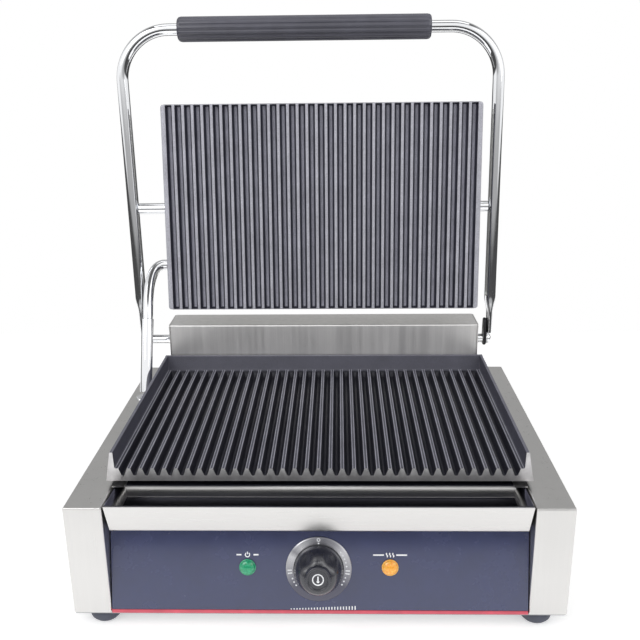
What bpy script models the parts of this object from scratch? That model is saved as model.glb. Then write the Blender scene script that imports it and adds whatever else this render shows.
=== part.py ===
"""Panini press: a contact grill with a ribbed lower plate and a floating ribbed head.

Metres, +Z up, +X to the right of whoever faces the controls, +Y away from them.
The base is drawn about its own middle (x), from the front of its side housings (y)
and from the table (z). The arms are drawn about the hinge shaft, and the head about
the cross rod that carries it, each in the frame of an empty that stands on its joint.
"""

from math import cos, pi, radians, sin

import bmesh
import bpy
from mathutils import Matrix, Vector

# ---------------------------------------------------------------- driving sizes

GAP = 0.0003                    # between two pieces that touch
SHEET = 0.0012                  # folded stainless sheet

# middle of the whole object's box, seen from the base's own middle and front
MIDDLE_X = -0.00460
MIDDLE_Y = 0.15933

# base
HALF_WIDTH = 0.2050             # outer face of a side housing
INNER_HALF = 0.1732             # inner face of a side housing
DEPTH = 0.3110
FOOT_HEIGHT = 0.0120
FOOT_X = 0.1825
FOOT_INSET = 0.0155             # a foot's middle, from the front or the back
LEDGE_TOP = 0.1124

# control panel, which leans back between the housings
PANEL_FOOT = (-0.0010, 0.0140)  # y and z of its outer face's lower edge
PANEL_HEIGHT = 0.0752           # along the slope
PANEL_LEAN = radians(14.0)
PANEL_THICK = 0.0020
KNOB_UP = 0.0383                # knob's centre, along the slope
LAMP_UP = 0.0396
LAMP_SPREAD = 0.0589
TRIM_HEIGHT = 0.0030

# drip tray
TRAY_HALF_TOP = 0.1715
TRAY_HALF_FLOOR = 0.1695
TRAY_FLOOR = 0.0882
TRAY_LIP_TOP = 0.1140
TRAY_LIP_FOOT_Y = 0.0050
TRAY_LIP_TOP_Y = -0.0010
TRAY_BACK_Y = 0.0580
TRAY_WALL_TOP = 0.1108

# lower plate
LOWER_PITCH = 0.00990           # from rib to rib
UPPER_PITCH = 0.00982
LOWER_RIBS = 33
UPPER_RIBS = 32
RIB_FLAT = 0.0016               # width of a rib's flat top
GROOVE_FLAT = 0.0026            # width of a groove's flat bottom
RIB_DEEP = 0.0066
LOWER_BOTTOM = 0.1178
LOWER_RIB_TOP = 0.1294
LOWER_WALL_TOP = 0.1440
LOWER_FRONT_Y = 0.0348
LOWER_BACK_Y = 0.2675
LOWER_HALF_FOOT = 0.1779
LOWER_HALF_TOP = 0.1733
LOWER_POCKET_HALF = 0.1702
GROOVE_END_Y = 0.2560
BACK_WALL_FOOT_Y = 0.2575       # inner face of the rear wall, at the ribs
BACK_WALL_SLOPE = 0.0055        # its run in y, up to the wall's top

# hinge box and shaft
BOX_HALF = 0.1684
BOX_FRONT_Y = 0.2683
BOX_BACK_Y = 0.3080
BOX_TOP = 0.1778
BOX_FOOT = 0.1055
PIVOT_Y = 0.2840
PIVOT_Z = 0.1565
SHAFT_R = 0.0049

# arms: one tube bent into a U, leaning back at rest
ARM_LEAN = radians(6.0)
ARM_LEFT = (-0.2000, -0.2082)   # x of a tube's middle, level with the hinge axis and at its bend
ARM_RIGHT = (0.1826, 0.1840)
TUBE_R = 0.0060
FOOT_SQUEEZE = 0.5              # tube's lower end, as a share of its full radius
SQUEEZE_UP = (0.0300, 0.0460)   # where the squeezed part ends and the full tube starts
LUG_R = 0.0075                  # eye of the strap at an arm's foot
LUG_UP = 0.0232                 # strap's upper end, above the hinge axis
LUG_THICK = 0.0030
NUT_R = 0.0061
ARM_FOOT = NUT_R + 2 * GAP      # tube's lower end, above the hinge axis
GRIP_UP = 0.3284                # grip axis, above the hinge axis
CORNER_R = 0.0500
GRIP_HALF = 0.1305
GRIP_MIDDLE_X = -0.0172
GRIP_R = 0.0125
GRIP_FLUTES = 22
FLUTE_DEEP = 0.0011
ROD_UP = 0.1450                 # cross rod, above the hinge axis
ROD_R = 0.0057

# head
HEAD_LEAN = radians(7.1)
PLATE_HALF_X = 0.1654
PLATE_HALF_Z = 0.1070
FACE_OFFSET = 0.0243            # rib tips, in front of the rod's axis
PLATE_THICK = 0.0125
HOUSING_HALF_X = 0.1595
HOUSING_HALF_Z = 0.1015
HOUSING_BACK = 0.0260
GLAND_UP = -0.0610              # conduit's entry, along the head from the rod

# conduit on the left
RISER_FOOT = (-0.1862, 0.2140, LEDGE_TOP)
RISER_TOP = (-0.1862, 0.2500, 0.1910)
RISER_R = 0.0062
RISER_START = 0.0090            # tube's lower end, along its own slope from the ledge
RISER_NUT_R = 0.0098
HOSE_R = 0.0055

# ---------------------------------------------------------------- the scene

for thing in list(bpy.data.objects):
    bpy.data.objects.remove(thing, do_unlink=True)

PRESS = bpy.data.collections.new("panini_press")
CUTTERS = bpy.data.collections.new("cutters")
bpy.context.scene.collection.children.link(PRESS)
bpy.context.scene.collection.children.link(CUTTERS)


def empty(name, parent=None, location=(0, 0, 0), lean=0.0):
    """An empty that holds a frame; lean tips its +Z towards +Y."""
    frame = bpy.data.objects.new(name, None)
    frame.empty_display_size = 0.02
    PRESS.objects.link(frame)
    frame.parent = parent
    frame.location = location
    frame.rotation_euler = (-lean, 0, 0)
    return frame


BASE = empty("base_frame", location=(-MIDDLE_X, -MIDDLE_Y, 0))
PANEL = empty("panel_frame", BASE, (0, *PANEL_FOOT), PANEL_LEAN)
KNOB_AXIS = empty("knob_axis", PANEL, (0, 0, KNOB_UP))
TRAY_SLIDE = empty("tray_slide", BASE)
LIFT = empty("lift_axis", BASE, (0, PIVOT_Y, PIVOT_Z), ARM_LEAN)
TILT = empty("tilt_axis", LIFT, (0, 0, ROD_UP), HEAD_LEAN - ARM_LEAN)


def material(name, colour, roughness, metallic=0.0):
    made = bpy.data.materials.new(name)
    made.use_nodes = True
    shader = made.node_tree.nodes["Principled BSDF"]
    shader.inputs["Base Color"].default_value = (*colour, 1)
    shader.inputs["Roughness"].default_value = roughness
    shader.inputs["Metallic"].default_value = metallic
    made.diffuse_color = (*colour, 1)
    return made


LOOKS = {
    "stainless": ((0.62, 0.61, 0.59), 0.32, 1.0),
    "chrome": ((0.80, 0.81, 0.83), 0.08, 1.0),
    "dark_steel": ((0.05, 0.05, 0.055), 0.30, 0.9),
    "cast_iron": ((0.075, 0.075, 0.095), 0.45, 0.6),
    "panel_gloss": ((0.018, 0.022, 0.045), 0.18, 0.0),
    "trim_red": ((0.55, 0.03, 0.06), 0.35, 0.0),
    "black_plastic": ((0.015, 0.015, 0.018), 0.35, 0.0),
    "black_rubber": ((0.03, 0.03, 0.035), 0.7, 0.0),
    "green_lens": ((0.0, 0.28, 0.13), 0.15, 0.0),
    "amber_lens": ((0.85, 0.35, 0.03), 0.15, 0.0),
    "galvanised": ((0.45, 0.46, 0.47), 0.45, 1.0),
    "element": ((0.16, 0.15, 0.14), 0.5, 0.8),
    "spring_steel": ((0.30, 0.30, 0.31), 0.35, 1.0),
    "nylon": ((0.75, 0.74, 0.70), 0.5, 0.0),
}


# ---------------------------------------------------------------- modelling helpers

def register(name, mesh, look, parent=BASE, location=(0, 0, 0), rotation=(0, 0, 0)):
    """A named sub-part with a material of its own, in its body's frame."""
    part = bpy.data.objects.new(name, mesh)
    PRESS.objects.link(part)
    part.data.materials.clear()
    part.data.materials.append(material(f"{name}_{look}", *LOOKS[look]))
    part.parent = parent
    part.location = location
    part.rotation_euler = rotation
    return part


def finish_mesh(bm, name, smooth=False):
    bmesh.ops.recalc_face_normals(bm, faces=bm.faces)
    mesh = bpy.data.meshes.new(name)
    bm.to_mesh(mesh)
    bm.free()
    if smooth:
        mesh.shade_smooth()
        mesh.set_sharp_from_angle(angle=radians(35))
    return mesh


def box_mesh(low, high):
    bm = bmesh.new()
    bmesh.ops.create_cube(bm, size=1.0)
    low = Vector(low)
    size = Vector(high) - low
    for vert in bm.verts:
        vert.co = low + Vector((vert.co[i] + 0.5) * size[i] for i in range(3))
    return bm


def box(name, low, high, look, parent=BASE):
    return register(name, finish_mesh(box_mesh(low, high), name), look, parent)


def bevel(part, width, segments=2, angle=40):
    edge = part.modifiers.new("Rounded edges", "BEVEL")
    edge.width = width
    edge.segments = segments
    edge.limit_method = "ANGLE"
    edge.angle_limit = radians(angle)
    return edge


def solidify(part, thickness):
    """Thickness goes inwards from the drawn surface."""
    wall = part.modifiers.new("Sheet thickness", "SOLIDIFY")
    wall.thickness = thickness
    wall.offset = -1
    wall.use_even_offset = True


def open_box(name, low, high, look, open_side, parent=BASE, sheet=SHEET, round_off=0.0):
    """A folded-sheet box with one side missing; open_side is that side's direction."""
    bm = box_mesh(low, high)
    bmesh.ops.recalc_face_normals(bm, faces=bm.faces)
    direction = Vector(open_side)
    gone = [face for face in bm.faces if face.normal.dot(direction) > 0.9]
    bmesh.ops.delete(bm, geom=gone, context="FACES_ONLY")
    mesh = bpy.data.meshes.new(name)
    bm.to_mesh(mesh)
    bm.free()
    part = register(name, mesh, look, parent)
    if round_off:
        bevel(part, round_off, segments=2)
    solidify(part, sheet)
    return part


def cutter(name, mesh, parent, location=(0, 0, 0), rotation=(0, 0, 0)):
    tool = bpy.data.objects.new(name, mesh)
    CUTTERS.objects.link(tool)
    tool.parent = parent
    tool.location = location
    tool.rotation_euler = rotation
    tool.hide_render = True
    tool.display_type = "WIRE"
    return tool


def cut(part, tool):
    hole = part.modifiers.new(f"Cut {tool.name}", "BOOLEAN")
    hole.operation = "DIFFERENCE"
    hole.solver = "EXACT"
    hole.object = tool


def rod_mesh(radius, length, sides, name):
    """A bar along +Z, from its origin."""
    bm = bmesh.new()
    bmesh.ops.create_cone(
        bm, cap_ends=True, segments=sides, radius1=radius, radius2=radius, depth=length,
        matrix=Matrix.Translation((0, 0, length / 2)))
    return finish_mesh(bm, name, smooth=True)


ALONG_X = (0, pi / 2, 0)        # turns a piece's +Z to +X
OUTWARD = (pi / 2, 0, 0)        # turns a piece's +Z to -Y, out of the control panel


def bar_x(name, radius, low_x, high_x, look, parent, y=0.0, z=0.0, sides=24):
    mesh = rod_mesh(radius, high_x - low_x, sides, name)
    return register(name, mesh, look, parent, (low_x, y, z), ALONG_X)


def turned(name, profile, look, parent, location, rotation, steps=24):
    """A turned piece: profile holds (radius, height) down its outside, then up its bore."""
    mesh = bpy.data.meshes.new(name)
    points = [(radius, 0, height) for radius, height in profile]
    closed = profile[0][0] > 0
    count = len(points)
    edges = [(i, i + 1) for i in range(count - 1)]
    if closed:
        edges.append((count - 1, 0))
    mesh.from_pydata(points, edges, [])
    part = register(name, mesh, look, parent, location, rotation)
    screw = part.modifiers.new("Turned", "SCREW")
    screw.axis = "Z"
    screw.steps = steps
    screw.render_steps = steps
    screw.use_merge_vertices = True
    screw.merge_threshold = 0.00001
    screw.use_smooth_shade = True
    return part


def ring(name, inner, outer, thick, look, parent, location, rotation, steps=24):
    """A plain ring whose thickness runs from its origin along its +Z."""
    profile = [(outer, thick), (outer, 0), (inner, 0), (inner, thick)]
    return turned(name, profile, look, parent, location, rotation, steps)


def wire(name, points, radius, look, parent=BASE, resolution=2):
    """A round bar or tube through the points, with filled ends."""
    curve = bpy.data.curves.new(name, "CURVE")
    curve.dimensions = "3D"
    curve.bevel_depth = radius
    curve.bevel_resolution = resolution
    curve.use_fill_caps = True
    line = curve.splines.new("POLY")
    line.points.add(len(points) - 1)
    for point, place in zip(line.points, points):
        point.co = (*place, 1)
    return register(name, curve, look, parent)


def arc(centre, start, end, count):
    """Points on a circle's arc about centre, from start to end, in the plane they span."""
    centre = Vector(centre)
    first = Vector(start) - centre
    last = Vector(end) - centre
    turn = first.angle(last)
    axis = first.cross(last).normalized()
    return [centre + Matrix.Rotation(turn * i / count, 3, axis) @ first for i in range(count + 1)]


def bezier(points, count):
    """Points on the cubic curve with the four given control points."""
    a, b, c, d = (Vector(point) for point in points)
    path = []
    for i in range(count + 1):
        t = i / count
        s = 1 - t
        path.append(a * s ** 3 + b * 3 * s * s * t + c * 3 * s * t * t + d * t ** 3)
    return path


def frustum_mesh(low_foot, high_foot, low_top, high_top, name):
    """A block whose foot and top rectangles differ: each corner is (x, y, z)."""
    bm = box_mesh((0, 0, 0), (1, 1, 1))
    for vert in bm.verts:
        low, high = (low_top, high_top) if vert.co.z > 0.5 else (low_foot, high_foot)
        vert.co = Vector((
            high[0] if vert.co.x > 0.5 else low[0],
            high[1] if vert.co.y > 0.5 else low[1],
            high[2] if vert.co.z > 0.5 else low[2]))
    return finish_mesh(bm, name)


def groove_comb(name, ribs, pitch, start, end, over):
    """The tapered grooves between ribs, along +Y, cut down into a face at z = 0."""
    bm = bmesh.new()
    top_half = (pitch - RIB_FLAT) / 2
    slope = (top_half - GROOVE_FLAT / 2) / RIB_DEEP
    for i in range(ribs + 1):
        middle = (i - ribs / 2) * pitch
        wide = top_half + over * slope
        section = ((-wide, over), (wide, over),
                   (GROOVE_FLAT / 2, -RIB_DEEP), (-GROOVE_FLAT / 2, -RIB_DEEP))
        corners = [bm.verts.new((middle + x, start, z)) for x, z in section]
        face = bm.faces.new(corners)
        pulled = bmesh.ops.extrude_face_region(bm, geom=[face])
        moved = [item for item in pulled["geom"] if isinstance(item, bmesh.types.BMVert)]
        bmesh.ops.translate(bm, verts=moved, vec=(0, end - start, 0))
    return finish_mesh(bm, name)


# ---------------------------------------------------------------- base: sheet metal

def side_housings():
    """Left and right bent-sheet housings with a flat ledge on top, open underneath."""
    for side, name in ((-1, "housing_left"), (1, "housing_right")):
        near, far = sorted((side * INNER_HALF, side * HALF_WIDTH))
        open_box(name, (near, 0, FOOT_HEIGHT + SHEET + GAP), (far, DEPTH, LEDGE_TOP), "stainless",
                 (0, 0, -1), round_off=0.0016)


def floor_and_back():
    half = INNER_HALF - GAP
    box("bottom_plate", (-HALF_WIDTH + 0.001, 0.001, FOOT_HEIGHT),
        (HALF_WIDTH - 0.001, DEPTH - 0.001, FOOT_HEIGHT + SHEET), "galvanised")
    box("rear_panel", (-half, DEPTH - 0.0018, FOOT_HEIGHT + SHEET + GAP),
        (half, DEPTH, LEDGE_TOP - 0.008), "stainless")
    box("heat_shield", (-half, 0.0600, 0.1030), (half, DEPTH - 0.0022, 0.1040), "galvanised")
    for side, name in ((-1, "bearer_left"), (1, "bearer_right")):
        near, far = sorted((side * 0.1500, side * 0.1640))
        box(name, (near, 0.0640, 0.1043), (far, 0.2520, LOWER_BOTTOM - GAP), "galvanised")


def control_panel():
    half = INNER_HALF - 0.0007
    panel = box("control_panel", (-half, 0, TRIM_HEIGHT + GAP), (half, PANEL_THICK, PANEL_HEIGHT),
                "panel_gloss", PANEL)
    for name, x, up, radius in (("neck_hole", 0, KNOB_UP, 0.0053),
                                ("green_hole", -LAMP_SPREAD, LAMP_UP, 0.0051),
                                ("amber_hole", LAMP_SPREAD, LAMP_UP, 0.0051)):
        mesh = rod_mesh(radius, 0.02, 24, name)
        cut(panel, cutter(name, mesh, PANEL, (x, 0.01, up), OUTWARD))
    box("panel_trim", (-half, -0.0004, 0), (half, PANEL_THICK, TRIM_HEIGHT), "trim_red", PANEL)


def feet():
    """Four rubber feet under the housings, domed towards the table."""
    profile = [(0, FOOT_HEIGHT - GAP), (0.0130, FOOT_HEIGHT - GAP), (0.0138, 0.0085),
               (0.0134, 0.0032), (0.0120, 0.0006), (0.0105, 0), (0, 0)]
    for x, side in ((-FOOT_X, "left"), (FOOT_X, "right")):
        for y, end in ((FOOT_INSET, "front"), (DEPTH - FOOT_INSET, "rear")):
            turned(f"foot_{end}_{side}", profile, "black_rubber", BASE, (x, y, 0), (0, 0, 0))


def tray():
    """A drip trough whose front lip leans outwards, on two rails."""
    bm = box_mesh((-1, 0, 0), (1, 1, 1))
    for vert in bm.verts:
        top = vert.co.z > 0.5
        front = vert.co.y < 0.5
        side = 1 if vert.co.x > 0 else -1
        vert.co.x = side * (TRAY_HALF_TOP if top else TRAY_HALF_FLOOR)
        if front:
            vert.co.y = TRAY_LIP_TOP_Y if top else TRAY_LIP_FOOT_Y
            vert.co.z = TRAY_LIP_TOP if top else TRAY_FLOOR
        else:
            vert.co.y = TRAY_BACK_Y
            vert.co.z = TRAY_WALL_TOP if top else TRAY_FLOOR
    bmesh.ops.recalc_face_normals(bm, faces=bm.faces)
    top_face = max(bm.faces, key=lambda face: face.normal.z)
    bmesh.ops.delete(bm, geom=[top_face], context="FACES_ONLY")
    mesh = bpy.data.meshes.new("drip_tray")
    bm.to_mesh(mesh)
    bm.free()
    trough = register("drip_tray", mesh, "stainless", TRAY_SLIDE)
    bevel(trough, 0.0015)
    solidify(trough, 0.0010)
    for side, name in ((-1, "tray_rail_left"), (1, "tray_rail_right")):
        near, far = sorted((side * 0.1620, side * (INNER_HALF - GAP)))
        box(name, (near, 0.0320, TRAY_LIP_TOP - 0.0008), (far, 0.0590, TRAY_LIP_TOP + 0.0004),
            "stainless")


def lower_plate():
    """Cast grill plate: a drafted block, a pocket open to the front, and the grooves."""
    name = "lower_plate"
    mesh = frustum_mesh(
        (-LOWER_HALF_FOOT, LOWER_FRONT_Y, LOWER_BOTTOM), (LOWER_HALF_FOOT, LOWER_BACK_Y, 0),
        (-LOWER_HALF_TOP, LOWER_FRONT_Y, 0), (LOWER_HALF_TOP, LOWER_BACK_Y - 0.002, LOWER_WALL_TOP),
        name)
    plate = register(name, mesh, "cast_iron")
    draft = 0.0002
    top = LOWER_WALL_TOP + 0.004
    climb = (top - LOWER_RIB_TOP) / (LOWER_WALL_TOP - LOWER_RIB_TOP)
    back_top = BACK_WALL_FOOT_Y + climb * BACK_WALL_SLOPE
    pocket = frustum_mesh(
        (-LOWER_POCKET_HALF, 0, LOWER_RIB_TOP), (LOWER_POCKET_HALF, BACK_WALL_FOOT_Y, LOWER_RIB_TOP),
        (-LOWER_POCKET_HALF - climb * draft, 0, top), (LOWER_POCKET_HALF + climb * draft, back_top, top),
        "pocket")
    cut(plate, cutter("pocket", pocket, BASE))
    comb = groove_comb("lower_grooves", LOWER_RIBS, LOWER_PITCH, 0.0, GROOVE_END_Y, 0.0010)
    cut(plate, cutter("lower_grooves", comb, BASE, (0, 0, LOWER_RIB_TOP)))


def serpentine(half_x, half_y, runs):
    """A tubular element's path: straight runs along x, joined by half circles."""
    pitch = 2 * half_y / (runs - 1)
    bend = pitch / 2
    path = []
    for i in range(runs):
        y = -half_y + i * pitch
        way = 1 if i % 2 == 0 else -1
        path.append(Vector((-way * (half_x - bend), y, 0)))
        path.append(Vector((way * (half_x - bend), y, 0)))
        if i < runs - 1:
            for k in range(1, 6):
                turn = pi * k / 6
                x = way * (half_x - bend + bend * sin(turn))
                path.append(Vector((x, y + bend - bend * cos(turn), 0)))
    return path


def lower_element():
    middle_y = 0.158
    height = 0.1112
    path = [point + Vector((0, middle_y, height)) for point in serpentine(0.140, 0.080, 4)]
    wire("lower_element", path, 0.0032, "element")


# ---------------------------------------------------------------- base: controls

def controls():
    """Thermostat, lamps and dial plate, all square to the leaning panel."""
    body_top = -PANEL_THICK - 0.0006
    neck = [(0.0050, 0.0012), (0.0050, body_top), (0.0190, body_top), (0.0190, -0.0280),
            (0.0034, -0.0280), (0.0034, 0.0012)]
    turned("thermostat", neck, "galvanised", PANEL, (0, 0, KNOB_UP), OUTWARD)
    ring("dial_plate", 0.0056, 0.0272, 0.0014, "stainless", PANEL,
         (0, -GAP, KNOB_UP), OUTWARD, steps=48)
    lens = [(0, 0.0042), (0.0032, 0.0037), (0.0057, 0.0022), (0.0069, 0.0010), (0.0069, 0.0003),
            (0.0047, 0.0003), (0.0047, -0.0140), (0, -0.0140)]
    for x, name, look in ((-LAMP_SPREAD, "lamp_power", "green_lens"),
                          (LAMP_SPREAD, "lamp_ready", "amber_lens")):
        turned(name, lens, look, PANEL, (x, 0, LAMP_UP), OUTWARD)
    box("terminal_block", (-0.1500, 0.2200, FOOT_HEIGHT + SHEET + GAP), (-0.1000, 0.2420, 0.0330),
        "nylon")
    gland_hole = rod_mesh(0.0080, 0.02, 24, "gland_hole")
    cut(bpy.data.objects["rear_panel"],
        cutter("gland_hole", gland_hole, BASE, (-0.125, DEPTH + 0.005, 0.040), OUTWARD))
    gland = [(0.0077, 0.0200), (0.0077, -GAP), (0.0120, -GAP), (0.0120, -0.0050),
             (0.0095, -0.0080), (0.0040, -0.0080), (0.0040, 0.0200)]
    turned("cord_gland", gland, "black_plastic", BASE, (-0.125, DEPTH, 0.040), OUTWARD)


def knob():
    """A black knob with a wide foot, two finger scoops, a ridge and a round boss."""
    outline = [(0, 0.0250), (0.0092, 0.0250), (0.0102, 0.0243), (0.0108, 0.0228), (0.0150, 0.0176),
               (0.0188, 0.0116), (0.0205, 0.0062), (0.0209, 0.0024), (0.0209, 0.0020), (0.0034, 0.0020),
               (0.0034, 0.0110), (0, 0.0110)]
    cap = turned("knob", outline, "black_plastic", KNOB_AXIS, (0, 0, 0), OUTWARD, steps=40)
    for side, name in ((-1, "scoop_left"), (1, "scoop_right")):
        bm = bmesh.new()
        bmesh.ops.create_uvsphere(bm, u_segments=20, v_segments=12, radius=0.0085)
        mesh = finish_mesh(bm, name)
        cut(cap, cutter(name, mesh, KNOB_AXIS, (side * 0.0100, -0.0222, 0.0118)))
    spindle = rod_mesh(0.0031, 0.0240, 20, "knob_spindle")
    register("knob_spindle", spindle, "galvanised", KNOB_AXIS, (0, 0.0133, 0), OUTWARD)


# ---------------------------------------------------------------- base: hinge box

def hinge_box():
    shell = open_box("hinge_box", (-BOX_HALF, BOX_FRONT_Y, BOX_FOOT), (BOX_HALF, BOX_BACK_Y, BOX_TOP),
                     "stainless", (0, 0, -1), round_off=0.0010)
    bore = rod_mesh(0.0065, 0.40, 24, "shaft_bore")
    cut(shell, cutter("shaft_bore", bore, BASE, (-0.20, PIVOT_Y, PIVOT_Z), ALONG_X))
    for side, word in ((-1, "left"), (1, "right")):
        # nylon bush, flanged on the inside of the box's end
        inside = BOX_HALF - SHEET - GAP
        flange = [(0.0062, SHEET), (0.0062, 0), (0.0100, 0), (0.0100, -0.0080),
                  (SHAFT_R + GAP, -0.0080), (SHAFT_R + GAP, SHEET)]
        turned(f"bush_{word}", flange, "nylon", BASE, (side * inside, PIVOT_Y, PIVOT_Z),
               (0, side * pi / 2, 0))
        hinge_spring(side, f"spring_{word}")


def hinge_spring(side, name):
    """Counterbalance torsion spring, wound round the shaft inside the box."""
    turns = 5
    per_turn = 12
    pitch = 0.0042
    coil_r = 0.0082
    start_x = side * 0.1450
    path = []
    for i in range(turns * per_turn + 1):
        turn = 2 * pi * i / per_turn
        path.append(Vector((start_x - side * pitch * i / per_turn,
                            PIVOT_Y + coil_r * cos(turn), PIVOT_Z - coil_r * sin(turn))))
    path.insert(0, path[0] + Vector((0, 0, 0.0130)))
    path.append(path[-1] + Vector((0, 0, -0.0300)))
    wire(name, path, 0.0013, "spring_steel", resolution=1)


def conduit_base():
    """Riser tube on the left ledge and the nut that holds it."""
    foot = Vector(RISER_FOOT)
    top = Vector(RISER_TOP)
    way = (top - foot).normalized()
    start = foot + way * RISER_START
    tilt = way.to_track_quat("Z", "Y").to_euler()
    length = (top - start).length
    profile = [(RISER_R, length), (RISER_R, 0), (HOSE_R - 0.0004, 0), (HOSE_R - 0.0004, length)]
    turned("conduit_riser", profile, "chrome", BASE, start, tilt, steps=24)
    bm = bmesh.new()
    bmesh.ops.create_cone(bm, cap_ends=True, segments=6, radius1=RISER_NUT_R, radius2=RISER_NUT_R, depth=0.005,
                          matrix=Matrix.Translation((0, 0, 0.0025)))
    mesh = finish_mesh(bm, "riser_nut")
    register("riser_nut", mesh, "chrome", BASE, foot + Vector((0, 0, GAP - 0.0002)), (0, 0, 0))


# ---------------------------------------------------------------- arms

def arm_x(side, up):
    """Middle of an arm's tube at a height above the hinge axis."""
    low, high = ARM_LEFT if side < 0 else ARM_RIGHT
    return low + (high - low) * min(1.0, up / (GRIP_UP - CORNER_R))


def arms():
    """U-shaped tube whose bridge carries the grip; its lower ends are squeezed to suit the straps."""
    straight = GRIP_UP - CORNER_R
    left = ARM_LEFT[1]
    right = ARM_RIGHT[1]
    feet_up = (ARM_FOOT, *SQUEEZE_UP)
    path = [(arm_x(-1, up), 0, up) for up in feet_up]
    path += arc((left + CORNER_R, 0, straight), (left, 0, straight), (left + CORNER_R, 0, GRIP_UP), 10)
    path += arc((right - CORNER_R, 0, straight), (right - CORNER_R, 0, GRIP_UP), (right, 0, straight), 10)
    path += [(arm_x(1, up), 0, up) for up in reversed(feet_up)]
    tube = wire("handle_frame", path, TUBE_R, "chrome", LIFT, resolution=4)
    points = tube.data.splines[0].points
    for place in (0, 1, -2, -1):
        points[place].radius = FOOT_SQUEEZE


def grip():
    """Fluted sleeve on the bridge of the arms: an outline with a round hole, extruded."""
    curve = bpy.data.curves.new("grip", "CURVE")
    curve.dimensions = "2D"
    curve.fill_mode = "BOTH"
    curve.extrude = GRIP_HALF
    count = GRIP_FLUTES * 4
    outer = []
    for i in range(count):
        turn = 2 * pi * i / count
        dip = FLUTE_DEEP * (0.5 - 0.5 * cos(GRIP_FLUTES * turn))
        outer.append(((GRIP_R - dip) * cos(turn), (GRIP_R - dip) * sin(turn)))
    bore = TUBE_R + GAP
    inner = [(bore * cos(2 * pi * i / 24), bore * sin(2 * pi * i / 24)) for i in range(24)]
    for points in (outer, inner):
        line = curve.splines.new("POLY")
        line.points.add(len(points) - 1)
        for point, (x, y) in zip(line.points, points):
            point.co = (x, y, 0, 1)
        line.use_cyclic_u = True
    register("grip", curve, "black_rubber", LIFT, (GRIP_MIDDLE_X, 0, GRIP_UP), ALONG_X)


def lug(name, x):
    """Strap on the inner side of an arm's foot, with an eye for the shaft; x is its middle."""
    curve = bpy.data.curves.new(name, "CURVE")
    curve.dimensions = "2D"
    curve.fill_mode = "BOTH"
    curve.extrude = LUG_THICK / 2
    tip = 0.0040                # radius of the strap's upper end
    outline = [(-LUG_R * cos(pi * i / 16), -LUG_R * sin(pi * i / 16)) for i in range(17)]
    outline += [(tip * cos(pi * i / 8), LUG_UP - tip + tip * sin(pi * i / 8)) for i in range(9)]
    eye = SHAFT_R + 0.0001
    bore = [(eye * cos(2 * pi * i / 24), eye * sin(2 * pi * i / 24)) for i in range(24)]
    for points in (outline, bore):
        line = curve.splines.new("POLY")
        line.points.add(len(points) - 1)
        for point, (y, z) in zip(line.points, points):
            point.co = (y, z, 0, 1)
        line.use_cyclic_u = True
    register(name, curve, "dark_steel", LIFT, (x, 0, 0), (pi / 2, 0, pi / 2))


def hinge_shaft_and_lugs():
    """Shaft through the hinge box and the lugs at the arms' feet, its washers and end nut."""
    inset = TUBE_R * FOOT_SQUEEZE + GAP + LUG_THICK / 2
    left = arm_x(-1, ARM_FOOT) + inset
    right = arm_x(1, ARM_FOOT) - inset
    lug("lug_left", left)
    lug("lug_right", right)
    left_end = left - LUG_THICK / 2 - 0.0010
    right_end = right + LUG_THICK / 2 + 0.0025
    bar_x("hinge_shaft", SHAFT_R, left_end, right_end, "chrome", LIFT)
    for side, word in ((-1, "left"), (1, "right")):
        ring(f"washer_{word}", SHAFT_R + 0.0001, 0.0065, 0.0018, "chrome", LIFT,
             (side * (BOX_HALF + GAP), 0, 0), (0, side * pi / 2, 0))
    bore = SHAFT_R + 0.0001
    dome = [(0, 0.0056), (0.0022, 0.0053), (0.0042, 0.0043), (0.0056, 0.0028), (NUT_R, 0.0012),
            (NUT_R, 0), (bore, 0), (bore, 0.0028), (0, 0.0028)]
    turned("dome_nut", dome, "chrome", LIFT, (right + LUG_THICK / 2 + GAP, 0, 0), ALONG_X)


def cross_rod():
    """Rod between the arms that carries the head, with a collar at each side of it."""
    left = arm_x(-1, ROD_UP) + TUBE_R + GAP
    right = arm_x(1, ROD_UP) - TUBE_R - GAP
    bar_x("head_rod", ROD_R, left, right, "chrome", LIFT, z=ROD_UP)
    for side, word in ((-1, "left"), (1, "right")):
        start = HOUSING_HALF_X + 0.0006
        ring(f"collar_{word}", ROD_R + 0.0001, 0.0085, 0.0060, "chrome", LIFT,
             (side * start, 0, ROD_UP), (0, side * pi / 2, 0))


# ---------------------------------------------------------------- head

def upper_plate():
    """Cast grill plate of the head; its ribs run up the face at y = -FACE_OFFSET."""
    front = -FACE_OFFSET
    plate = box("upper_plate", (-PLATE_HALF_X, front, -PLATE_HALF_Z),
                (PLATE_HALF_X, front + PLATE_THICK, PLATE_HALF_Z), "cast_iron", TILT)
    reach = PLATE_HALF_Z - 0.0020
    comb = groove_comb("upper_grooves", UPPER_RIBS, UPPER_PITCH, -reach, reach, 0.0010)
    # the comb is drawn to cut downwards along +Y: stand it up so that it cuts into +Y along +Z
    cut(plate, cutter("upper_grooves", comb, TILT, (0, front, 0), (pi / 2, 0, 0)))


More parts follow.
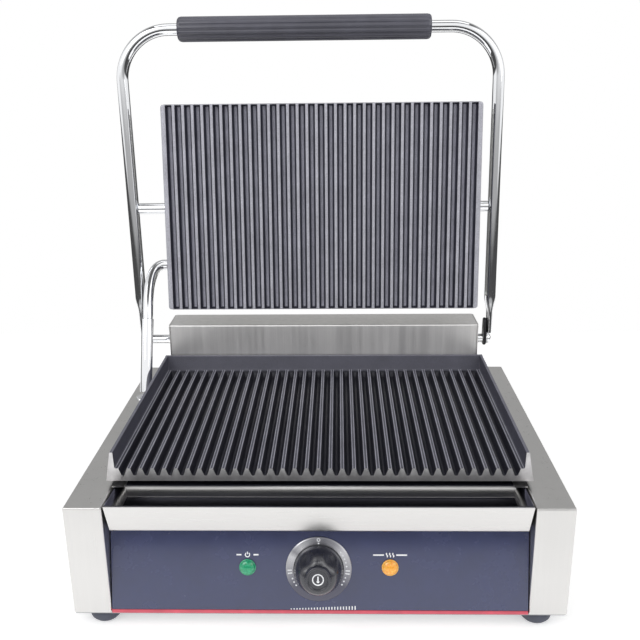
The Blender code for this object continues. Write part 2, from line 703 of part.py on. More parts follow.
def upper_housing():
    """Folded stainless cover over the plate's back, with the rod running through it."""
    front = -FACE_OFFSET + PLATE_THICK + GAP
    shell = open_box("upper_housing", (-HOUSING_HALF_X, front, -HOUSING_HALF_Z),
                     (HOUSING_HALF_X, HOUSING_BACK, HOUSING_HALF_Z), "stainless", (0, -1, 0), TILT,
                     round_off=0.0050)
    bore = rod_mesh(0.0074, 0.40, 24, "rod_bore")
    cut(shell, cutter("rod_bore", bore, TILT, (-0.20, 0, 0), ALONG_X))
    entry = rod_mesh(0.0062, 0.03, 24, "conduit_entry")
    cut(shell, cutter("conduit_entry", entry, TILT, (-HOUSING_HALF_X - 0.015, 0, GLAND_UP), ALONG_X))
    for side, word in ((-1, "left"), (1, "right")):
        inside = HOUSING_HALF_X - SHEET - GAP
        flange = [(0.0070, SHEET), (0.0070, 0), (0.0100, 0), (0.0100, -0.0100),
                  (ROD_R + GAP, -0.0100), (ROD_R + GAP, SHEET)]
        turned(f"rod_bush_{word}", flange, "nylon", TILT, (side * inside, 0, 0), (0, side * pi / 2, 0))


def upper_element():
    depth = -FACE_OFFSET + PLATE_THICK + GAP + 0.0027
    path = [Vector((point.x, depth, point.y)) for point in serpentine(0.138, 0.078, 4)]
    wire("upper_element", path, 0.0025, "element", TILT)


def head_gland():
    """Hollow gland on the head's left side, where the conduit goes in."""
    profile = [(0.0074, 0.0100), (0.0078, 0.0090), (0.0078, GAP), (0.0058, GAP), (0.0058, -0.0060),
               (0.0042, -0.0060), (0.0042, 0.0100)]
    turned("conduit_gland", profile, "chrome", TILT, (-HOUSING_HALF_X, 0, GLAND_UP),
           (0, -pi / 2, 0))


def conduit_hose():
    """Flexible chrome conduit from the gland, round a bend, into the top of the riser."""
    lean = Matrix.Rotation(-HEAD_LEAN, 3, "X")
    pivot = Vector((0, PIVOT_Y + ROD_UP * sin(ARM_LEAN), PIVOT_Z + ROD_UP * cos(ARM_LEAN)))
    start = pivot + lean @ Vector((-HOUSING_HALF_X - 0.0100 - GAP, 0, GLAND_UP))
    end = Vector(RISER_TOP)
    way = (end - Vector(RISER_FOOT)).normalized()
    end += way * GAP
    stub = 0.0030
    left = Vector((-1, 0, 0))
    first = start + left * stub
    last = end + way * stub
    path = [start] + bezier((first, first + left * 0.0200, last + way * 0.0140, last), 14) + [end]
    wire("conduit_hose", path, HOSE_R, "chrome", BASE)


side_housings()
floor_and_back()
control_panel()
feet()
tray()
lower_plate()
lower_element()
controls()
knob()
hinge_box()
conduit_base()
arms()
grip()
hinge_shaft_and_lugs()
cross_rod()
upper_plate()
upper_housing()
upper_element()
head_gland()
conduit_hose()
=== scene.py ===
"""Looks of the contact grill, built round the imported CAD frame.

Lengths are metres. BASE, PANEL, LIFT and TILT are the frames that the pieces are drawn in:
the base's front middle on the table, the leaning control panel, the arms and the head.
"""
from math import atan2, cos, exp, pi, radians, sin, sqrt, tan

import bmesh
import bpy
from mathutils import Matrix, Quaternion, Vector


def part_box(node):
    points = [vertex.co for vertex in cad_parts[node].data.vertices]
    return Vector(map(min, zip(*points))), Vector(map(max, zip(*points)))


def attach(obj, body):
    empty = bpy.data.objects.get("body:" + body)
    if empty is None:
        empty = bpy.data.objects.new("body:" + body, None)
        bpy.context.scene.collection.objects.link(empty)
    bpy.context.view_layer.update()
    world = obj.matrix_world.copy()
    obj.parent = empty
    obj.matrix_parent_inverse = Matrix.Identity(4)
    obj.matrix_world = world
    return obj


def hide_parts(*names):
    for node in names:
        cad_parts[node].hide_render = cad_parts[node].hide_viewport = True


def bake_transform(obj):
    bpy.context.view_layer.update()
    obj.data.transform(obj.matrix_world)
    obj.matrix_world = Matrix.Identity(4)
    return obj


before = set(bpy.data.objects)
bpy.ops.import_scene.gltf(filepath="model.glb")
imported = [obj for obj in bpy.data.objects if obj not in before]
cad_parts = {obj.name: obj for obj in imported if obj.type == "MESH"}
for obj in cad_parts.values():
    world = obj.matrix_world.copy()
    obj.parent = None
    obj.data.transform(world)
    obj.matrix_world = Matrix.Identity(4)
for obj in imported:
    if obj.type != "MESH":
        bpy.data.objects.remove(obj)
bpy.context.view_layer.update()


# ---------------------------------------------------------------- frames, from the CAD

def middle(node):
    low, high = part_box(node)
    return (low + high) / 2


def span(node, place):
    """A CAD node's lowest and highest corner, measured in the frame called place."""
    back = place.inverted()
    spots = [back @ vert.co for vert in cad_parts[node].data.vertices]
    low = Vector([min(spot[i] for spot in spots) for i in range(3)])
    high = Vector([max(spot[i] for spot in spots) for i in range(3)])
    return low, high


def leaning(spot, lean):
    return Matrix.Translation(spot) @ Matrix.Rotation(-lean, 4, "X")


ARM_LEAN = radians(6.0)
HEAD_LEAN = radians(7.1)
PANEL_LEAN = radians(14.0)
MIDDLE_X = middle("bottom_plate").x
BASE = Matrix.Translation((MIDDLE_X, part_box("housing_left")[0].y, 0))
LIFT = leaning((MIDDLE_X, *middle("hinge_shaft").yz), ARM_LEAN)
TILT = leaning((MIDDLE_X, *middle("head_rod").yz), HEAD_LEAN)
PANEL = leaning(BASE @ Vector((0, -0.0010, 0.0140)), PANEL_LEAN)
OUTWARD = Matrix.Rotation(pi / 2, 4, "X")       # turns +Z to -Y, out of the panel
TO_RIGHT = Matrix.Rotation(pi / 2, 4, "Y")      # turns +Z to +X
TO_LEFT = Matrix.Rotation(-pi / 2, 4, "Y")
BACKWARD = Matrix.Rotation(-pi / 2, 4, "X")     # turns +Z to +Y, out of the back


def at(place, x, y, z, turn=Matrix()):
    return place @ Matrix.Translation((x, y, z)) @ turn


def placed(name, data):
    """A new object of the scene."""
    made = bpy.data.objects.new(name, data)
    bpy.context.scene.collection.objects.link(made)
    return made


# ---------------------------------------------------------------- node materials

LOOKS = {}


def feed(socket, value):
    """Links another node's output to a socket, or sets the socket to a plain value."""
    if isinstance(value, bpy.types.NodeSocket):
        socket.id_data.links.new(value, socket)
    else:
        socket.default_value = value


def switched_on(sockets):
    """The sockets that a node's present mode uses."""
    return [socket for socket in sockets if socket.enabled]


def tree_of(values):
    """The node tree of the first socket among the values."""
    return next(value.id_data for value in values if isinstance(value, bpy.types.NodeSocket))


def node(kind, settings=None, tree=None, **inputs):
    """A shader node in tree, or else where its inputs come from; _ in an input's name is a space."""
    tree = tree or tree_of(inputs.values())
    made = tree.nodes.new("ShaderNode" + kind)
    for key, value in (settings or {}).items():
        setattr(made, key, value)
    for key, value in inputs.items():
        feed(made.inputs[key.replace("_", " ")], value)
    return made


def maths(operation, *values, kind="Math"):
    made = node(kind, {"operation": operation}, tree_of(values))
    for socket, value in zip(switched_on(made.inputs), values):
        feed(socket, value)
    return switched_on(made.outputs)[0]


def start(name, colour, roughness, metallic=0.0, **uniform):
    """A new material in LOOKS, and its object coordinates."""
    made = bpy.data.materials.new(name)
    LOOKS[name] = made
    made.use_nodes = True
    made.diffuse_color = (*colour, 1)
    tree = made.node_tree
    uniform.update(Base_Color=(*colour, 1), Roughness=roughness, Metallic=metallic)
    for key, value in uniform.items():
        tree.nodes["Principled BSDF"].inputs[key.replace("_", " ")].default_value = value
    return made, node("TexCoord", tree=tree).outputs["Object"]


def noise(vector, scale, detail=3.0, rough=0.6, stretch=None):
    """Noise with features about 1 / scale metres across; stretch scales each axis."""
    if stretch:
        vector = node("Mapping", Vector=vector, Scale=stretch).outputs["Vector"]
    made = node("TexNoise", Vector=vector, Scale=scale, Detail=detail, Roughness=rough)
    return made.outputs["Fac"]


def spread(value, low=0.0, high=1.0, from_low=0.3, from_high=0.7):
    made = node("MapRange", Value=value, From_Min=from_low, From_Max=from_high,
                To_Min=low, To_Max=high)
    return made.outputs["Result"]


def mixed(share, first, second, blend="MIX"):
    made = node("Mix", {"data_type": "RGBA", "blend_type": blend}, tree_of((share, first, second)))
    for socket, value in zip(switched_on(made.inputs), (share, first, second)):
        feed(socket, (*value, 1) if isinstance(value, tuple) else value)
    return switched_on(made.outputs)[0]


def ramp(value, stops):
    """Colours along a value from 0 to 1; stops holds (value, colour), in rising order."""
    made = node("ValToRGB", Fac=value)
    points = made.color_ramp.elements
    points.remove(points[1])
    points[0].position = stops[0][0]
    points[0].color = (*stops[0][1], 1)
    for place, colour in stops[1:]:
        points.new(place).color = (*colour, 1)
    return made.outputs["Color"]


def greys(stops, low=0.0, high=1.0):
    """Stops of (value, grey), their values brought from low..high to 0..1."""
    return [((place - low) / (high - low), (grey,) * 3) for place, grey in stops]


def tinted(colour, share):
    return tuple(min(1.0, part * share) for part in colour)


def paint(made, tone, roughness, height, strength, distance):
    """Feeds the colour, the roughness and a bump of the given height to a material's shader."""
    relief = node("Bump", Height=height, Strength=strength, Distance=distance)
    for name, value in (("Base Color", tone), ("Roughness", roughness),
                        ("Normal", relief.outputs["Normal"])):
        feed(made.node_tree.nodes["Principled BSDF"].inputs[name], value)


def brushed_steel(name, colour, along, roughness=(0.26, 0.36), streak=0.05):
    """Stainless sheet brushed along one axis of the piece."""
    made, place = start(name, colour, 0.3, 1.0)
    stretch = [1.0, 1.0, 1.0]
    stretch[along] = 0.012
    fine = noise(place, 1800.0, 4.0, 0.6, stretch)
    stretch[along] = 0.03
    broad = noise(place, 170.0, 2.0, 0.5, stretch)
    smudge = noise(place, 14.0, 2.0, 0.5)
    lines = spread(maths("ADD", fine, broad), 0.0, 1.0, 0.6, 1.4)
    cloudy = mixed(spread(smudge), tinted(colour, 0.97), tinted(colour, 1.03))
    grey = mixed(lines, (1 - streak,) * 3, (1.0,) * 3)
    tone = mixed(1.0, cloudy, grey, "MULTIPLY")
    paint(made, tone, spread(lines, *roughness, 0.0, 1.0), lines, 0.20, 0.00003)


def trough_steel(name, colour, painted_shade):
    """Steel brushed across, with painted shade wherever it faces up or backwards."""
    made, place = start(name, colour, 0.3, 1.0)
    lines = noise(place, 1800.0, 4.0, 0.6, (0.012, 1.0, 1.0))
    facing = node("SeparateXYZ", Vector=place.node.outputs["Normal"]).outputs
    shaded_share = spread(maths("MAXIMUM", facing["Y"], facing["Z"]), 0.0, 1.0, 0.45, 0.60)
    tone = mixed(shaded_share, colour, painted_shade)
    paint(made, tone, spread(lines, 0.26, 0.36), lines, 0.20, 0.00003)


def polished(name, colour, roughness=(0.035, 0.09)):
    """Chrome plate with faint wipe marks."""
    made, place = start(name, colour, 0.05, 1.0)
    wipe = noise(place, 60.0)
    ripple = noise(place, 26.0, 1.0, 0.4)
    paint(made, (*colour, 1), spread(wipe, *roughness), ripple, 0.05, 0.0004)


def painted_edge_highlights(place, rib_top, tone, colour):
    """Painted highlights: pale lines along both upper edges of each lower rib."""
    axes = node("SeparateXYZ", Vector=place).outputs
    away = maths("PINGPONG", axes["X"], LOWER_PITCH / 2)
    widest = 2.5                # millimetres from the middle of a groove or a rib
    share = spread(away, 0.0, 1.0, 0.0, widest / 1000)
    line = ramp(share, greys(((0.70, 0.0), (0.95, 1.0), (1.40, 1.0), (1.60, 0.0)), 0.0, widest))
    on_top = spread(axes["Z"], 1.0, 0.0, rib_top + 0.0001, rib_top + 0.0004)
    return mixed(maths("MULTIPLY", line, on_top), tone, colour)


def cast_iron(name, rib_top, tones, edge_highlight=None):
    """Seasoned iron with a sand-cast grain, with light and shade painted by height; tones holds
    (millimetres over the ribs' tops, colour).
    """
    made, place = start(name, tones[-1][1], 0.42, 0.25, Specular_IOR_Level=0.6)
    grain = noise(place, 1500.0, 4.0, 0.7)
    patch = noise(place, 45.0)
    height = node("SeparateXYZ", Vector=place).outputs["Z"]
    low = -0.008
    high = 0.016
    share = spread(height, 0.0, 1.0, rib_top + low, rib_top + high)
    tone = ramp(share, [((over / 1000 - low) / (high - low), colour) for over, colour in tones])
    if edge_highlight:
        tone = painted_edge_highlights(place, rib_top, tone, edge_highlight)
    shade = maths("MULTIPLY", spread(grain, 0.70, 1.15, 0.35, 0.65),
                  spread(patch, 0.88, 1.12))
    tone = maths("SCALE", tone, shade, kind="VectorMath")
    paint(made, tone, spread(grain, 0.36, 0.54), grain, 0.35, 0.00018)


def machined_iron(name, colour):
    """The plate's sawn and ground front edge."""
    made, place = start(name, colour, 0.4, 0.85)
    lines = noise(place, 900.0, stretch=(1.0, 1.0, 0.12))
    tone = mixed(spread(noise(place, 60.0)), tinted(colour, 0.72), colour)
    paint(made, tone, spread(lines, 0.30, 0.50), lines, 0.25, 0.00006)


def plastic(name, colour, roughness, grain=2200.0, depth=0.00002, coat=0.0, specular=0.5):
    """Moulded plastic or rubber with a faint surface texture and slight wear."""
    made, place = start(name, colour, sum(roughness) / 2, Coat_Weight=coat,
                        Coat_Roughness=0.08, Specular_IOR_Level=specular)
    pores = noise(place, grain)
    cloud = noise(place, 40.0)
    tone = mixed(spread(cloud), tinted(colour, 0.85), tinted(colour, 1.18))
    paint(made, tone, spread(cloud, *roughness), pores, 0.25, depth)


def lens_plastic(name, colour, deep):
    """Tinted lamp lens: deeper colour near the middle of each faint moulded facet."""
    made, place = start(name, colour, 0.12, Coat_Weight=0.6, Coat_Roughness=0.05,
                        Subsurface_Weight=0.25, Subsurface_Scale=0.002)
    facets = node("TexVoronoi", Vector=place, Scale=700.0).outputs["Distance"]
    tone = mixed(spread(facets, 0.0, 1.0, 0.0, 0.8), deep, colour)
    paint(made, tone, spread(facets, 0.08, 0.2, 0.0, 1.0), facets, 0.15, 0.0002)


def turned_steel(name, colour, shade):
    """Steel disc brushed in circles round its own Z axis, with a painted highlight fan at each upper side
    and painted shade below.
    """
    made, place = start(name, colour, 0.3, 0.9)
    axes = node("SeparateXYZ", Vector=place).outputs
    turn = maths("ARCTAN2", axes["Y"], axes["X"])
    highlight_fans = ramp(spread(turn, 0.0, 1.0, -pi, pi), greys((
        (0.0, 0.45), (0.10, 0.05), (0.40, 0.05), (0.50, 0.45), (0.60, 1.0), (0.66, 0.45), (0.72, 0.25),
        (0.78, 0.35), (0.86, 0.95), (0.90, 0.40), (0.93, 1.0), (1.0, 0.45))))
    flat = maths("MULTIPLY", place, (1, 1, 0), kind="VectorMath")
    radius = maths("LENGTH", flat, kind="VectorMath")
    rings = noise(node("CombineXYZ", X=radius).outputs["Vector"], 3200.0, 3.0, 0.7)
    tone = mixed(spread(rings, 0.0, 0.35), mixed(highlight_fans, shade, colour),
                 tinted(shade, 0.6))
    paint(made, tone, spread(rings, 0.24, 0.36), rings, 0.3, 0.00004)


def gloss_panel(name, colour):
    """Gloss enamel over sheet: slight orange peel under a hard clear coat."""
    made, place = start(name, colour, 0.2, Coat_Weight=1.0, Coat_Roughness=0.10,
                        Coat_IOR=1.5, Specular_IOR_Level=0.5)
    peel = noise(place, 240.0, 2.0, 0.5)
    dust = noise(place, 30.0, 4.0, 0.7)
    tone = mixed(spread(dust), tinted(colour, 0.9), tinted(colour, 1.15))
    paint(made, tone, spread(dust, 0.20, 0.30), peel, 0.06, 0.0002)


RIB_TOP_LOWER = 0.1294
LOWER_PITCH = 0.0099
UPPER_PITCH = 0.00982
FACE_OFFSET = -span("upper_plate", TILT)[0].y
STEEL = (0.70, 0.692, 0.68)
IRON_DARK = (0.016, 0.016, 0.026)
IRON_DEEP = (0.024, 0.024, 0.036)
# painted light on the lower ribs' flat tops
IRON_LIT_TOP = (0.085, 0.085, 0.110)
IRON_PLAIN = (0.070, 0.070, 0.095)
# painted light on the upper plate's groove bottoms and rib crests
GROOVE_BOTTOM_LIT = (0.46, 0.46, 0.54)
RIB_CREST_LIT = (0.50, 0.50, 0.56)
# lower plate by height: painted light on the rib tops, painted shade on the flanks, a paler top edge on
# the walls
LOWER_TONES = ((-6.6, IRON_DEEP), (-0.9, IRON_DARK), (-0.35, IRON_LIT_TOP), (0.6, IRON_LIT_TOP),
               (2.0, IRON_PLAIN), (13.8, IRON_PLAIN), (14.4, (0.16, 0.16, 0.20)))
# upper plate by height: painted light on the groove bottoms and rib crests, painted shade on the flanks
UPPER_TONES = ((-7.6, IRON_DARK), (-6.7, GROOVE_BOTTOM_LIT), (-6.2, GROOVE_BOTTOM_LIT),
               (-5.0, (0.050, 0.050, 0.075)), (-0.8, (0.024, 0.024, 0.038)), (-0.25, RIB_CREST_LIT),
               (0.0, RIB_CREST_LIT))

brushed_steel("steel_upright", STEEL, 2)
brushed_steel("steel_ledge", STEEL, 1)
brushed_steel("steel_across", STEEL, 0)
# the hinge cover's steel is a paler copy of the other steel: painted light
brushed_steel("steel_cover", (0.94, 0.93, 0.92), 2, (0.42, 0.54), 0.14)
# the pan's last colour is painted shade on its faces that point up or backwards
trough_steel("steel_pan", STEEL, (0.075, 0.075, 0.100))
brushed_steel("steel_rear", (0.60, 0.60, 0.58), 0)
polished("chrome", (0.88, 0.89, 0.91))
polished("dark_steel", (0.05, 0.05, 0.055), (0.25, 0.4))
brushed_steel("zinc", (0.42, 0.43, 0.44), 0, (0.38, 0.55), 0.2)
polished("spring", (0.32, 0.32, 0.33), (0.25, 0.4))
# the last colour is the painted highlight along the lower ribs' upper edges
cast_iron("iron_lower", RIB_TOP_LOWER, LOWER_TONES, (0.42, 0.42, 0.48))
cast_iron("iron_upper", FACE_OFFSET, UPPER_TONES)
machined_iron("iron_cut", (0.80, 0.79, 0.80))
gloss_panel("panel", (0.020, 0.028, 0.092))
plastic("trim", (0.60, 0.085, 0.125), (0.3, 0.4), coat=0.3)
plastic("knob", (0.016, 0.017, 0.026), (0.20, 0.30), coat=0.4, specular=0.8)
plastic("grip", (0.065, 0.065, 0.088), (0.30, 0.42), 900.0, 0.00005, specular=0.8)
plastic("plastic", (0.020, 0.020, 0.024), (0.35, 0.5))
plastic("foot", (0.060, 0.066, 0.090), (0.55, 0.7), 700.0, 0.00008)
plastic("nylon", (0.72, 0.71, 0.67), (0.4, 0.55))
plastic("element", (0.16, 0.15, 0.14), (0.4, 0.6), 900.0, 0.00008)
lens_plastic("green", (0.020, 0.42, 0.20), (0.004, 0.20, 0.09))
lens_plastic("amber", (1.0, 0.52, 0.08), (0.85, 0.28, 0.02))
# the dial's last colour is the painted shade between its painted highlight fans
turned_steel("dial", (0.85, 0.85, 0.88), (0.10, 0.10, 0.135))
plastic("ink", (0.82, 0.83, 0.86), (0.35, 0.45))


# ---------------------------------------------------------------- mesh building

def piece(name, mesh, look, body, place=BASE, replaced=None, more_looks=()):
    """A visible piece in its body's frame, standing for the CAD node replaced."""
    mesh.name = name
    made = placed(name, mesh)
    for word in (look, *more_looks):
        mesh.materials.append(LOOKS[word])
    made.matrix_world = place
    if body:
        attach(made, body)
    if replaced:
        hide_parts(replaced)
    return made


def smooth_mesh(bm, sharp=None):
    """Turns a bmesh into a mesh, shaded smooth, but for edges over sharp degrees if it is given."""
    mesh = bpy.data.meshes.new("piece")
    bm.to_mesh(mesh)
    bm.free()
    mesh.shade_smooth()
    if sharp:
        mesh.set_sharp_from_angle(angle=radians(sharp))
    return mesh


def closed_mesh(bm, sharp=35.0):
    bmesh.ops.recalc_face_normals(bm, faces=bm.faces)
    return smooth_mesh(bm, sharp)


def add_loft(bm, rings, loop=False):
    """Skins rings of points into a closed solid; a ring of one point is a pole."""
    rows = [[bm.verts.new(point) for point in ring] for ring in rings]
    pairs = list(zip(rows, rows[1:]))
    if loop:
        pairs.append((rows[-1], rows[0]))
    for low, high in pairs:
        count = max(len(low), len(high))
        for i in range(count):
            j = (i + 1) % count
            corners = [low[i % len(low)], low[j % len(low)], high[j % len(high)], high[i % len(high)]]
            bm.faces.new(dict.fromkeys(corners))
    if not loop:
        for row in (rows[0], rows[-1]):
            if len(row) > 2:
                bm.faces.new(row)


def loft(rings, loop=False, sharp=35.0):
    bm = bmesh.new()
    add_loft(bm, rings, loop)
    return closed_mesh(bm, sharp)


def even_turns(steps):
    return [2 * pi * i / steps for i in range(steps)]


def bored_plate(rings, centre, bore, steps):
    """A plate skinned from rings of points along X, with a straight round hole through it."""
    bm = bmesh.new()
    rims = [[bm.verts.new(point) for point in ring] for ring in rings]
    holes = [[bm.verts.new((ring[0][0], centre.y + bore * cos(turn), centre.z + bore * sin(turn)))
              for turn in even_turns(steps)] for ring in (rings[0], rings[-1])]
    for low, high in [*zip(rims, rims[1:]), holes]:
        for i in range(len(low)):
            j = (i + 1) % len(low)
            bm.faces.new((low[i], low[j], high[j], high[i]))
    for face in zip((rims[0], rims[-1]), holes):
        edges = [bm.edges.get(pair) for ring in face for pair in zip(ring, ring[1:] + ring[:1])]
        bmesh.ops.triangle_fill(bm, use_beauty=True, edges=edges)
    return closed_mesh(bm)


def circle(radius, z, steps):
    if radius < 1e-7:
        return [(0, 0, z)]
    return [(radius * cos(turn), radius * sin(turn), z) for turn in even_turns(steps)]


def lathe(profile, steps=64):
    """Turned solid about Z. A profile that never meets the axis is closed into a ring."""
    rings = [circle(radius, z, steps) for radius, z in profile]
    return loft(rings, profile[0][0] > 0 and profile[-1][0] > 0, 30.0)


def rounded(corners, radius, steps=4):
    """A (r, z) outline with each inner corner replaced by an arc; corners may carry a radius."""
    out = [corners[0][:2]]
    for before, corner, after in zip(corners, corners[1:], corners[2:]):
        bend = corner[2] if len(corner) > 2 else radius
        spot = Vector(corner[:2])
        back = Vector(before[:2]) - spot
        ahead = Vector(after[:2]) - spot
        cut = min(bend, back.length * 0.45, ahead.length * 0.45)
        if cut < 1e-6:
            out.append(tuple(spot))
            continue
        first = spot + back.normalized() * cut
        last = spot + ahead.normalized() * cut
        for i in range(steps + 1):
            t = i / steps
            out.append(tuple(first * (1 - t) ** 2 + spot * 2 * t * (1 - t) + last * t ** 2))
    out.append(corners[-1][:2])
    return out


def frames_along(points):
    """A point and two cross directions at each place of a path, carried along without twisting."""
    ways = []
    for i in range(len(points)):
        before = points[max(0, i - 1)]
        after = points[min(len(points) - 1, i + 1)]
        ways.append((after - before).normalized())
    side = ways[0].orthogonal().normalized()
    turned = []
    for i, (point, way) in enumerate(zip(points, ways)):
        if i:
            side = ways[i - 1].rotation_difference(way) @ side
        turned.append((point, side.normalized(), way.cross(side).normalized()))
    return turned


def tube(path, radius, sides=32, end_round=0.0):
    """Round bar along a path, with the edges of its ends drawn in by end_round."""
    rings = [[point + side * (radius * cos(turn)) + other * (radius * sin(turn))
              for turn in even_turns(sides)] for point, side, other in frames_along(path)]

    def softened(ring, end, next_in):
        inward = (next_in - end).normalized() * end_round
        small = [end + (spot - end) * (1 - end_round / radius) for spot in ring]
        return small, [spot + inward for spot in ring]

    if end_round:
        small, moved = softened(rings[0], path[0], path[1])
        last_small, last_moved = softened(rings[-1], path[-1], path[-2])
        rings = [small, moved, *rings[1:-1], last_moved, last_small]
    return loft(rings, sharp=40.0)


def arc_points(centre, first, last, count):
    centre = Vector(centre)
    begin = Vector(first) - centre
    turn = begin.rotation_difference(Vector(last) - centre)
    return [centre + Quaternion().slerp(turn, i / count) @ begin for i in range(count + 1)]


def sheet_box(name, replaced, open_side, radius, sheet, look, body, place=BASE):
    """A folded-sheet box in place of a CAD node, with one side missing and rounded folds."""
    low, high = span(replaced, place)
    bm = bmesh.new()
    bmesh.ops.create_cube(bm, size=1.0)
    for vert in bm.verts:
        vert.co = low + (vert.co + Vector((0.5, 0.5, 0.5))) * (high - low)
    bmesh.ops.recalc_face_normals(bm, faces=bm.faces)
    gone = [face for face in bm.faces if face.normal.dot(Vector(open_side)) > 0.9]
    bmesh.ops.delete(bm, geom=gone, context="FACES_ONLY")
    made = piece(name, smooth_mesh(bm), look, body, place, replaced)
    round_edges(made, radius, 4)
    thicken(made, sheet)
    made.modifiers.new("Even shading", "WEIGHTED_NORMAL").keep_sharp = True


def round_edges(made, width, segments=3, angle=30):
    edge = made.modifiers.new("Rounded edges", "BEVEL")
    edge.width = width
    edge.segments = segments
    edge.limit_method = "ANGLE"
    edge.angle_limit = radians(angle)


def thicken(made, thickness):
    wall = made.modifiers.new("Sheet thickness", "SOLIDIFY")
    wall.thickness = thickness
    wall.offset = -1
    wall.use_even_offset = True


# ---------------------------------------------------------------- ribbed plates

LOWER_RIBS = 33
UPPER_RIBS = 32
RIB_DEEP = 0.0066
FLANK = radians(70)             # a rib's flank, from the horizontal


def groove_side(flat, bottom_round, rib_round):
    """Half of a groove's section: (distance from its middle, depth), from its bottom up."""
    points = []
    for i in range(5):
        turn = -pi / 2 + FLANK * i / 4
        points.append((flat + bottom_round * cos(turn), -RIB_DEEP + bottom_round * (1 + sin(turn))))
    base_x, base_z = points[-1]
    top_z = -rib_round * (1 - cos(FLANK))
    top_x = base_x + (top_z - base_z) / tan(FLANK)
    for i in range(5):
        turn = FLANK * (1 - i / 4)
        points.append((top_x + rib_round * (sin(FLANK) - sin(turn)), -rib_round * (1 - cos(turn))))
    return points


def groove_columns(ribs, pitch, section, limit):
    """Where the surface needs a column of points across all the grooves, and each one's depth."""
    columns = {}
    for i in range(ribs + 1):
        centre = (i - ribs / 2) * pitch
        for offset, depth in section:
            for x in {centre + offset, centre - offset}:
                if abs(x) < limit:
                    columns[round(x, 6)] = depth
    return columns


def height_block(columns, rows, height, outline, bottom, front_look=False):
    """A closed block whose top is height(x, y) over a grid, with a skirt to a flat bottom.

    outline moves a rim point (x, y) to its place at the bottom.
    """
    bm = bmesh.new()
    grid = [[bm.verts.new((x, y, height(x, y))) for x in columns] for y in rows]
    for low, high in zip(grid, grid[1:]):
        for i in range(len(columns) - 1):
            bm.faces.new((low[i], low[i + 1], high[i + 1], high[i]))
    rim = grid[0] + [row[-1] for row in grid[1:-1]] + grid[-1][::-1]
    rim += [row[0] for row in reversed(grid[1:-1])]
    foot = [bm.verts.new((*outline(vert.co.x, vert.co.y), bottom)) for vert in rim]
    for i in range(len(rim)):
        j = (i + 1) % len(rim)
        side = bm.faces.new((rim[i], rim[j], foot[j], foot[i]))
        if front_look and j < len(grid[0]) and i < j:
            side.material_index = 1
    bm.faces.new(foot)
    return closed_mesh(bm, 32.0)


def lower_grill():
    """The lower casting: walls left, right and behind, ribs that run out at the front."""
    low, high = span("lower_plate", BASE)
    half_foot = (high.x - low.x) / 2
    half_top = half_foot - 0.0046
    front = low.y
    wall_top = high.z
    back_foot = 0.2575
    back_top = 0.2630
    groove_end = 0.2560
    pocket = 0.1702
    wall_lean = 0.0004
    wall_rise = 0.0140
    rear_draft = 0.0020
    fillet = 0.0012
    soft = 0.0006
    depth_at = groove_columns(LOWER_RIBS, LOWER_PITCH, groove_side(0.0003, 0.0013, 0.0004),
                              pocket - 0.0015)

    def wall(gap):
        """Height of an inner wall whose foot is gap away (negative inside the pocket)."""
        if gap <= -fillet:
            return RIB_TOP_LOWER
        if gap <= 0:
            return RIB_TOP_LOWER + fillet - sqrt(max(0.0, fillet ** 2 - (gap + fillet) ** 2))
        return min(wall_top, RIB_TOP_LOWER + fillet + gap / wall_lean * wall_rise)

    def height(x, y):
        side = wall(abs(x) - pocket)
        if abs(x) > half_top - soft:
            edge = abs(x) - half_top + soft
            side = min(side, wall_top - soft + sqrt(max(0.0, soft ** 2 - edge ** 2)))
        climb = (y - back_foot) / (back_top - back_foot)
        rear = RIB_TOP_LOWER + max(0.0, min(1.0, climb)) * (wall_top - RIB_TOP_LOWER)
        if side > RIB_TOP_LOWER + 1e-6 or climb > 0:
            return max(side, rear)
        drop = depth_at.get(round(x, 6), 0.0)
        if y > groove_end - RIB_DEEP:
            reach = (y - groove_end + RIB_DEEP) / RIB_DEEP
            drop = max(drop, -RIB_DEEP * sqrt(max(0.0, 1 - reach ** 2)))
        return RIB_TOP_LOWER + drop

    columns = sorted(depth_at)
    for side in (-1, 1):
        for x in (half_top, half_top - soft * 0.3, half_top - soft, pocket + wall_lean, pocket,
                  pocket - 0.0002, pocket - 0.0005, pocket - fillet):
            columns.append(round(side * x, 6))
    columns = sorted(set(columns))
    rows = [front, front + 0.0004, 0.0800, 0.1250, 0.1700, 0.2150]
    rows += [groove_end - RIB_DEEP * share for share in (1.0, 0.75, 0.5, 0.3, 0.15, 0.05, 0.0)]
    rear = high.y - rear_draft
    rows += [back_foot, (back_foot + back_top) / 2, back_top, back_top + 0.0003, rear - 0.0006, rear]

    def outline(x, y):
        return x * half_foot / half_top, y + (rear_draft if y > rear - 0.0001 else 0.0)

    mesh = height_block(columns, rows, height, outline, low.z, front_look=True)
    piece("lower_grill", mesh, "iron_lower", "base", BASE, "lower_plate", ("iron_cut",))


